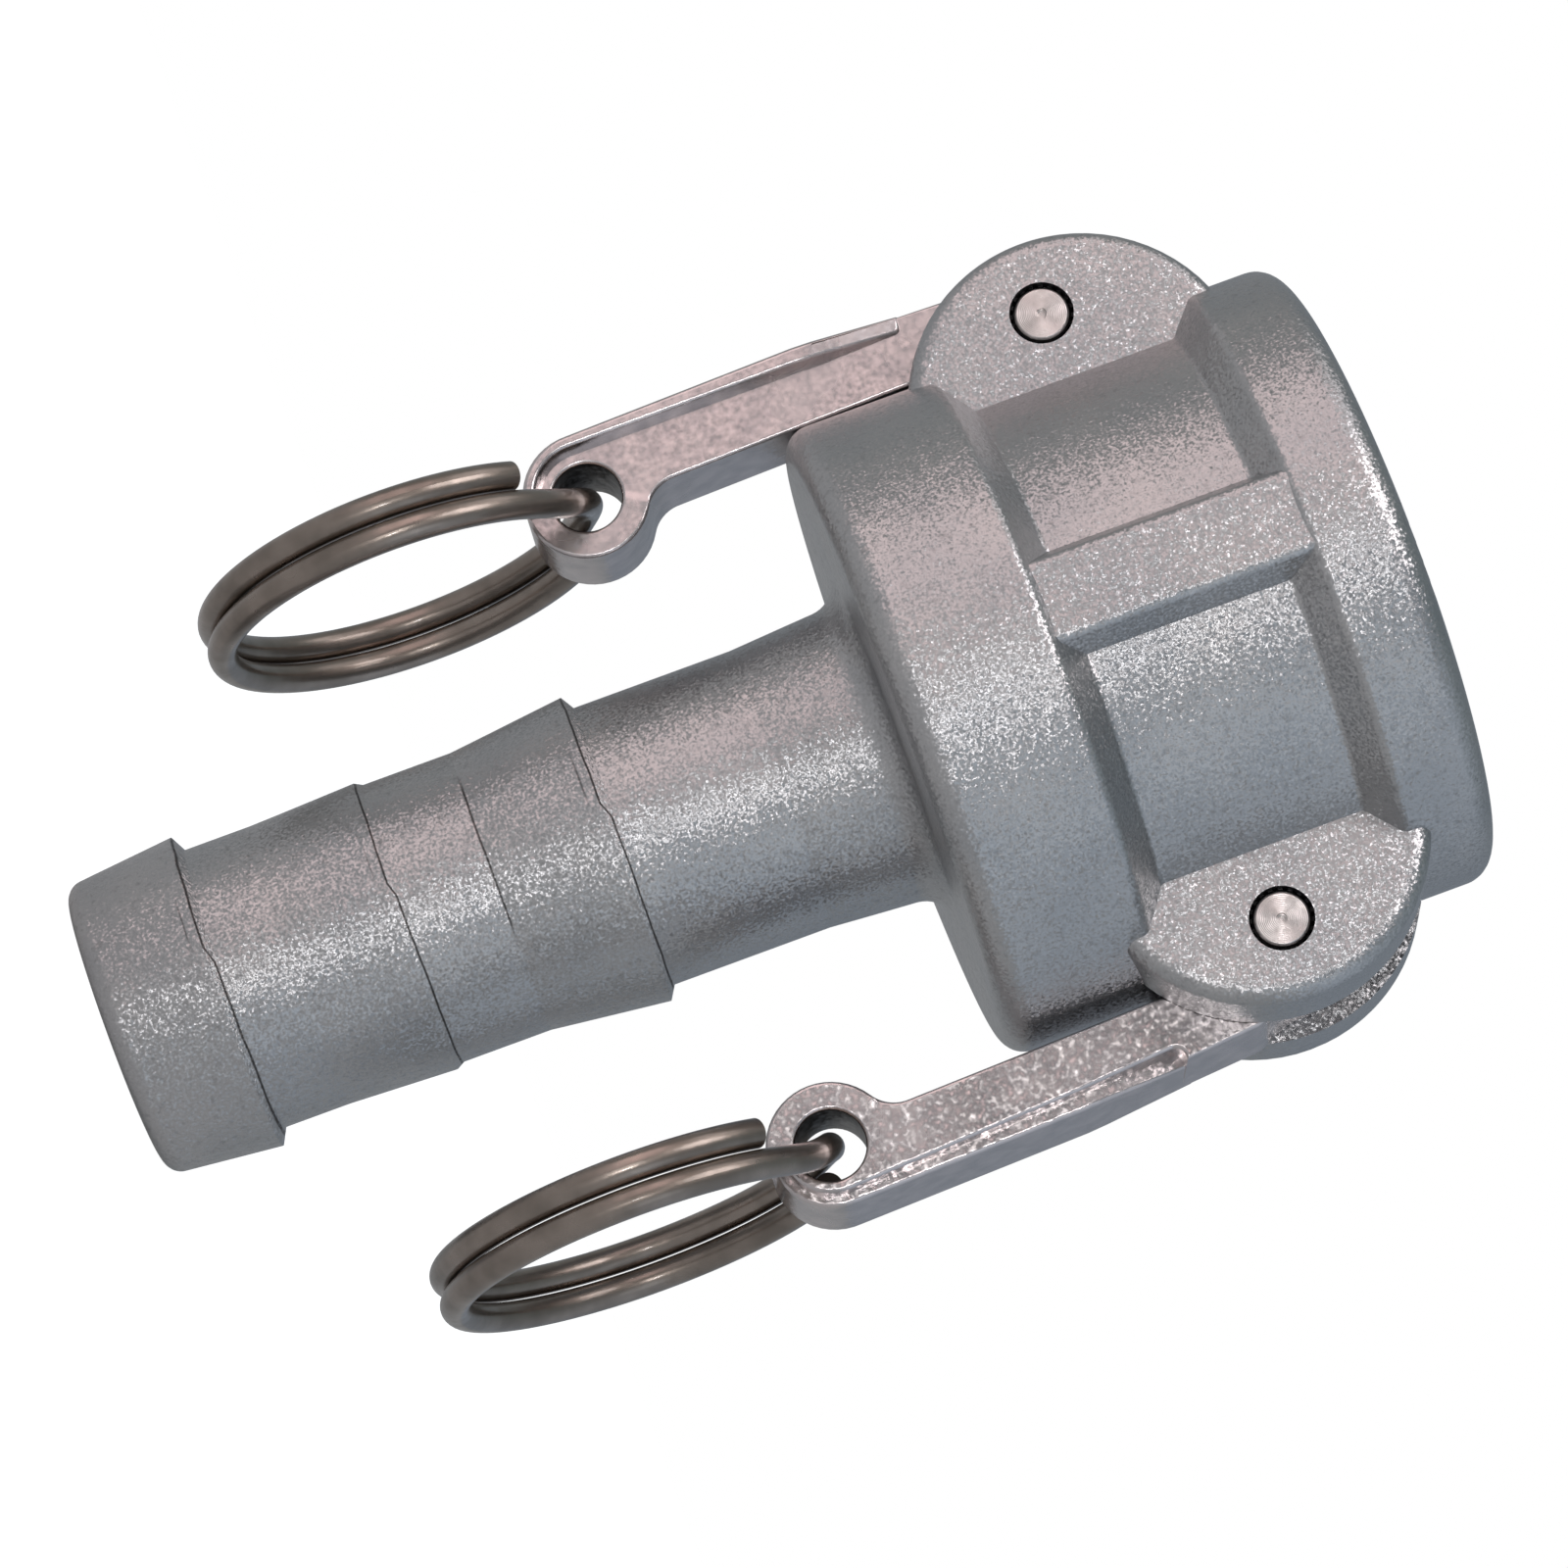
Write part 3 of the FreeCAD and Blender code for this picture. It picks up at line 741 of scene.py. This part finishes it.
def arc(centre: Point, radius: float, start: float, end: float, each: float = 7.5) -> list[Point]:
    """Points of an arc.

    Args:
        centre: Its centre.
        radius: Its radius.
        start: The first angle in degrees.
        end: The last angle in degrees.
        each: About how many degrees lie between two points.

    Returns:
        Points from the first angle to the last.
    """
    count = max(2, math.ceil(abs(end - start) / each))
    turns = (math.radians(start + (end - start) * index / count) for index in range(count + 1))
    return [(centre[0] + radius * math.cos(turn), centre[1] + radius * math.sin(turn))
            for turn in turns]


@dataclass
class CamArm:
    """One cam arm: a flat web, and a rib that stands proud of one face and lies low on the other.

    Side is -1 or 1 along X, and lean is the arm's slope at rest in degrees.
    """

    name: str
    body: str
    side: int
    lean: float
    form: ArmForm = field(default_factory=ArmForm)
    pivot: Point = (21.0, 70.45)
    level_match: float = 0.001
    cap_facing: float = 0.9
    hole_margin: float = 0.02
    flat_facing: float = 0.985
    smooth_angle: float = 50.0

    def build(self, finishes: tuple[bpy.types.Material, ...]) -> bpy.types.Object:
        """Make the arm in its place.

        Args:
            finishes: The outside's material and the holes' material.

        Returns:
            The new piece, which stands for the frame's arm and rides its body.
        """
        form, half = self.form, self.form.half_thickness
        mesh = bmesh.new()
        web_wall = half - form.web_round
        web = self.slab(mesh, {web_wall: [form.web_outline(0.0, form.tuck), *form.holes()],
                               -web_wall: [form.web_outline(form.draft, form.step),
                                           *form.holes()]})
        self.soften(mesh, web, form.web_round)
        high = half + form.rib_rise - form.rib_edge_round
        foot = half - form.foot_depth
        low = form.rib_sink - half + form.rib_edge_round
        rib = self.slab(mesh, {high: [form.rib_outline(form.inset(high), form.wall_slant)],
                               foot: [form.rib_outline(form.inset(foot), -form.step)],
                               low: [form.rib_outline(form.inset(low), -form.step)]})
        rib = self.cut(mesh, rib, form.rib_top - form.ramp_run)
        for vertex in rib:
            if abs(vertex.co.y - high) < self.level_match:
                vertex.co.y += form.ramp(vertex.co.z, form.rib_rise_at_end - form.rib_rise)
            elif abs(vertex.co.y - low) < self.level_match:
                vertex.co.y += form.ramp(vertex.co.z, form.rib_sink_at_end - form.rib_sink)
        self.soften(mesh, rib, form.rib_edge_round)
        self.mark_holes(mesh)
        mesh.transform(self.matrix())
        return self.finish(mesh, finishes)

    def slab(self, mesh: bmesh.types.BMesh,
             levels: dict[float, list[list[Point]]]) -> list[bmesh.types.BMVert]:
        """Make a plate from loops that match point for point from level to level.

        Args:
            mesh: The mesh that takes the plate.
            levels: The outline and the holes at each depth, from the +Y face to the -Y face.

        Returns:
            The plate's vertices.
        """
        made: list[bmesh.types.BMVert] = []
        levelled: list[list[list[bmesh.types.BMEdge]]] = []
        for depth, loops in levels.items():
            levelled.append([])
            for loop in loops:
                ring = [mesh.verts.new((across, depth, up)) for across, up in loop]
                levelled[-1].append([mesh.edges.new((ring[index - 1], ring[index]))
                                     for index in range(len(ring))])
                made += ring
        for sign, rings in ((1.0, levelled[0]), (-1.0, levelled[-1])):
            bmesh.ops.triangle_fill(mesh, use_beauty=True, use_dissolve=False,
                                    edges=[edge for ring in rings for edge in ring],
                                    normal=(0.0, sign, 0.0))
        for above, below in zip(levelled, levelled[1:]):
            for front, back in zip(above, below):
                bmesh.ops.bridge_loops(mesh, edges=front + back)
        faces = {face for vertex in made for face in vertex.link_faces}
        bmesh.ops.recalc_face_normals(mesh, faces=list(faces))
        return made

    def cut(self, mesh: bmesh.types.BMesh, verts: list[bmesh.types.BMVert],
            height: float) -> list[bmesh.types.BMVert]:
        """Cut a plate across at a height, so that it can bend there.

        Args:
            mesh: The mesh that has the plate.
            verts: The plate's vertices.
            height: Where the cut goes, along the arm.

        Returns:
            The plate's vertices with the new ones.
        """
        faces = {face for vertex in verts for face in vertex.link_faces}
        edges = {edge for face in faces for edge in face.edges}
        cut = bmesh.ops.bisect_plane(mesh, geom=[*verts, *edges, *faces], dist=1e-5,
                                     plane_co=(0.0, 0.0, height), plane_no=(0.0, 0.0, 1.0))
        fresh = [item for item in cut["geom_cut"] if isinstance(item, bmesh.types.BMVert)]
        return list({*verts, *fresh})

    def soften(self, mesh: bmesh.types.BMesh, verts: list[bmesh.types.BMVert],
               radius: float) -> None:
        """Round a plate's edges by insets that climb a quarter circle at both faces.

        Args:
            mesh: The mesh that has the plate.
            verts: The plate's vertices.
            radius: The rounds' radius.
        """
        faces = {face for vertex in verts for face in vertex.link_faces}
        mesh.normal_update()
        turns = [math.radians(90.0 * index / self.form.round_steps)
                 for index in range(self.form.round_steps + 1)]
        for sign in (1.0, -1.0):
            cap = [face for face in faces if sign * face.normal.y > self.cap_facing]
            for start, end in zip(turns, turns[1:]):
                bmesh.ops.inset_region(mesh, faces=cap, use_even_offset=False,
                                       thickness=radius * (math.cos(start) - math.cos(end)),
                                       depth=radius * (math.sin(end) - math.sin(start)))

    def mark_holes(self, mesh: bmesh.types.BMesh) -> None:
        """Give the faces inside the two holes the second material."""
        for face in mesh.faces:
            middle = face.calc_center_median()
            for centre, radius in (((0.0, 0.0), self.form.pin_hole),
                                   (self.form.eye, self.form.eye_hole)):
                far = math.hypot(middle.x - centre[0], middle.z - centre[1])
                if far < radius + self.hole_margin:
                    face.material_index = 1

    def matrix(self) -> Matrix:
        """From the arm's own millimetres to its place in metres."""
        place = Matrix.Translation((self.side * self.pivot[0] * MM, 0.0, self.pivot[1] * MM))
        spin = Matrix.Rotation(0.0 if self.side > 0 else math.pi, 4, "Z")
        swing = Matrix.Rotation(-math.radians(self.lean), 4, "Y")
        return place @ spin @ swing @ Matrix.Scale(MM, 4)

    def finish(self, mesh: bmesh.types.BMesh,
               finishes: tuple[bpy.types.Material, ...]) -> bpy.types.Object:
        """Turn the mesh into the piece.

        Args:
            mesh: The arm's mesh in its place.
            finishes: The outside's material and the holes' material.

        Returns:
            The piece, with its materials, its shading and its place in the frame.
        """
        data = bpy.data.meshes.new(self.name + "_plated")
        mesh.to_mesh(data)
        mesh.free()
        for material in finishes:
            data.materials.append(material)
        data.shade_smooth()
        self.shade(data)
        piece = bpy.data.objects.new(self.name + "_plated", data)
        bpy.context.scene.collection.objects.link(piece)
        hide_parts(self.name)
        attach(piece, self.body)
        LOG.info("%s: %d faces", piece.name, len(data.polygons))
        return piece

    def shade(self, data: bpy.types.Mesh) -> None:
        """Shade the flat faces flat and let the rounds run into them."""
        limit = math.cos(math.radians(self.smooth_angle))
        around: list[list[int]] = [[] for _ in data.vertices]
        for face in data.polygons:
            for vertex in face.vertices:
                around[vertex].append(face.index)
        normals = []
        for face in data.polygons:
            for vertex in face.vertices:
                near = [data.polygons[index] for index in around[vertex]
                        if data.polygons[index].normal.dot(face.normal) > limit]
                flat = [other.normal for other in near
                        if abs(other.normal.y) > self.flat_facing]
                total = sum((other.normal * other.area for other in near), Vector())
                normals.append(flat[0] if flat else total.normalized())
        data.normals_split_custom_set(normals)


@dataclass
class Coupling:
    """The coupling's pieces, by finish."""

    body: tuple[str, ...] = ("coupler_body",)
    pins: tuple[str, ...] = ("pivot_pin_left", "pivot_pin_right")
    rings: tuple[str, ...] = ("pull_ring_left", "pull_ring_right")
    seals: tuple[str, ...] = ("gasket",)
    arms: tuple[CamArm, ...] = (
        CamArm(name="cam_arm_left", body="arm_left", side=-1, lean=1.3),
        CamArm(name="cam_arm_right", body="arm_right", side=1, lean=4.4),
    )

    def dress(self) -> None:
        """Give every solid its finish and make the arms."""
        grain = grain_group()
        for names, finish, slot in (
            (self.body, CastAluminium(), Slot.CAST),
            (self.pins, PinSteel(), Slot.PIN),
            (self.rings, RingWire(), Slot.RING),
            (self.seals, GasketRubber(), Slot.RUBBER),
        ):
            material = finish.build(grain)
            for name in names:
                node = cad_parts[name]
                for index in range(len(node.material_slots)):
                    node.material_slots[index].material = material
                LOG.info("%s: %s", name, material.name)
        plate = (PlatedCasting().build(grain), EyeBore().build(grain))
        for arm in self.arms:
            arm.build(plate)


@dataclass(frozen=True)
class Surround:
    """Soft light from each side of the studio, named as seen from the front.

    The floor hides what comes from below.
    """

    right: Colour = (0.50, 0.56, 0.64, 1.0)
    left: Colour = (0.33, 0.34, 0.34, 1.0)
    back: Colour = (0.23, 0.26, 0.30, 1.0)
    front: Colour = (0.18, 0.19, 0.20, 1.0)
    above: Colour = (0.20, 0.24, 0.25, 1.0)
    below: Colour = (0.13, 0.13, 0.13, 1.0)

    def pairs(self) -> tuple[tuple[str, Colour, Colour], ...]:
        """Each axis with the colours at its positive and negative ends."""
        return (("X", self.right, self.left), ("Y", self.back, self.front),
                ("Z", self.above, self.below))


@dataclass
class Studio:
    """Plain pale floor and soft light from all round before a white ground."""

    surround: Surround = field(default_factory=Surround)
    floor_size: float = 3.0
    floor_glow: float = 0.93
    floor_bounce: float = 0.13
    floor_grey: Colour = (0.5, 0.5, 0.5, 1.0)
    floor_roughness: float = 0.9
    white: Colour = (1.0, 1.0, 1.0, 1.0)

    def floor(self) -> None:
        """Lay the floor under the shank's end: pale to the camera, and grey to what it lights."""
        bpy.ops.mesh.primitive_plane_add(size=self.floor_size, location=(0.0, 0.0, 0.0))
        floor = bpy.context.object
        floor.name = "floor"
        material = bpy.data.materials.new("floor")
        material.use_nodes = True
        tree = material.node_tree
        bench = Bench(tree)
        shader = tree.nodes["Principled BSDF"]
        seen = bench.add("LightPath").outputs["Is Camera Ray"]
        bench.feed(shader, Base_Color=self.floor_grey, Roughness=self.floor_roughness,
                   Emission_Color=self.white,
                   Emission_Strength=bench.stretch(seen, 0.0, 1.0, self.floor_bounce,
                                                   self.floor_glow))
        floor.data.materials.append(material)

    def light_round(self) -> None:
        """Give each direction the light of its sides, by the squares of its components."""
        world = bpy.data.worlds.new("studio")
        bpy.context.scene.world = world
        world.use_nodes = True
        tree = world.node_tree
        tree.nodes.clear()
        bench = Bench(tree)
        split = bench.split(bench.add("TexCoord").outputs["Generated"])
        shares = []
        for axis, ahead, behind in self.surround.pairs():
            part = split.outputs[axis]
            side = bench.mix(bench.sum_up("GREATER_THAN", part, 0.0), behind, ahead)
            shares.append(bench.scaled(side, bench.sum_up("MULTIPLY", part, part)))
        light = bench.joined(bench.joined(shares[0], shares[1]), shares[2])
        glow = bench.feed(bench.add("Background"), Color=light, Strength=1.0)
        ground = bench.feed(bench.add("Background"), Color=self.white, Strength=1.0)
        pick = bench.add("MixShader")
        seen = bench.add("LightPath").outputs["Is Camera Ray"]
        for socket, value in zip(pick.inputs, (seen, glow.outputs[0], ground.outputs[0])):
            bench.put(socket, value)
        bench.feed(bench.add("OutputWorld"), Surface=pick.outputs[0])


@dataclass
class Lamp:
    """One round soft box that faces the coupling; angles in degrees, sizes in metres."""

    name: str
    azimuth: float
    elevation: float
    size: float
    power: float
    colour: tuple[float, float, float]
    distance: float = 0.6
    aim: tuple[float, float, float] = (0.0, 0.0, 0.05)

    def hang(self) -> None:
        """Place the lamp and turn it to its aim."""
        data = bpy.data.lights.new(self.name, "AREA")
        data.shape = "DISK"
        data.size = self.size
        data.energy = self.power
        data.color = self.colour
        lamp = bpy.data.objects.new(self.name, data)
        bpy.context.scene.collection.objects.link(lamp)
        back = direction(self.azimuth, self.elevation)
        lamp.location = Vector(self.aim) + back * self.distance
        lamp.rotation_euler = back.to_track_quat("Z", "Y").to_euler()


def direction(azimuth: float, elevation: float) -> Vector:
    """Unit vector from the coupling outwards; azimuth 0 is the front, in degrees."""
    turn, rise = math.radians(azimuth), math.radians(elevation)
    return Vector((math.sin(turn) * math.cos(rise), -math.cos(turn) * math.cos(rise),
                   math.sin(rise)))


@dataclass
class Eye:
    """The camera, rolled so that the coupling lies across the picture.

    Angles are in degrees, places in metres, and the lens and sensor in millimetres.
    """

    target: tuple[float, float, float] = (-0.00024, 0.0, 0.04505)
    azimuth: float = 14.705
    elevation: float = -2.248
    roll: float = 69.9
    distance: float = 0.4018
    lens: float = 145.11
    sensor: float = 36.0

    def open(self) -> None:
        """Make the scene's camera."""
        data = bpy.data.cameras.new("camera")
        data.lens = self.lens
        data.sensor_width = self.sensor
        camera = bpy.data.objects.new("camera", data)
        bpy.context.scene.collection.objects.link(camera)
        back = direction(self.azimuth, self.elevation)
        camera.location = Vector(self.target) + back * self.distance
        upright = back.to_track_quat("Z", "Y")
        turn = Quaternion((0.0, 0.0, 1.0), math.radians(self.roll))
        camera.rotation_euler = (upright @ turn).to_euler()
        bpy.context.scene.camera = camera


@dataclass
class Lights:
    """The lamps of the studio."""

    lamps: tuple[Lamp, ...] = (
        Lamp("key", azimuth=13.0, elevation=0.0, size=0.06, power=0.24,
             colour=(1.0, 0.98, 1.0)),
        Lamp("broad", azimuth=6.0, elevation=0.0, size=0.22, power=0.15,
             colour=(1.0, 0.97, 0.95)),
        Lamp("side", azimuth=50.0, elevation=5.0, size=0.35, power=0.13,
             colour=(0.86, 0.93, 1.0)),
        Lamp("warm", azimuth=-43.0, elevation=0.0, size=0.55, power=0.8,
             colour=(1.0, 0.77, 0.76)),
        Lamp("high", azimuth=-10.0, elevation=42.0, size=0.35, power=1.18,
             colour=(1.0, 0.93, 0.94)),
        Lamp("far high", azimuth=-60.0, elevation=45.0, size=0.35, power=0.25,
             colour=(1.0, 0.9, 0.9)),
    )

    def hang(self) -> None:
        """Hang every lamp."""
        for lamp in self.lamps:
            lamp.hang()


def main() -> None:
    """Dress the coupling, light it and set the camera."""
    logging.basicConfig(level=logging.INFO, format="%(name)s %(message)s")
    bpy.context.scene.view_settings.view_transform = "Standard"
    Coupling().dress()
    studio = Studio()
    studio.floor()
    studio.light_round()
    Lights().hang()
    Eye().open()


if __name__ == "__main__":
    main()
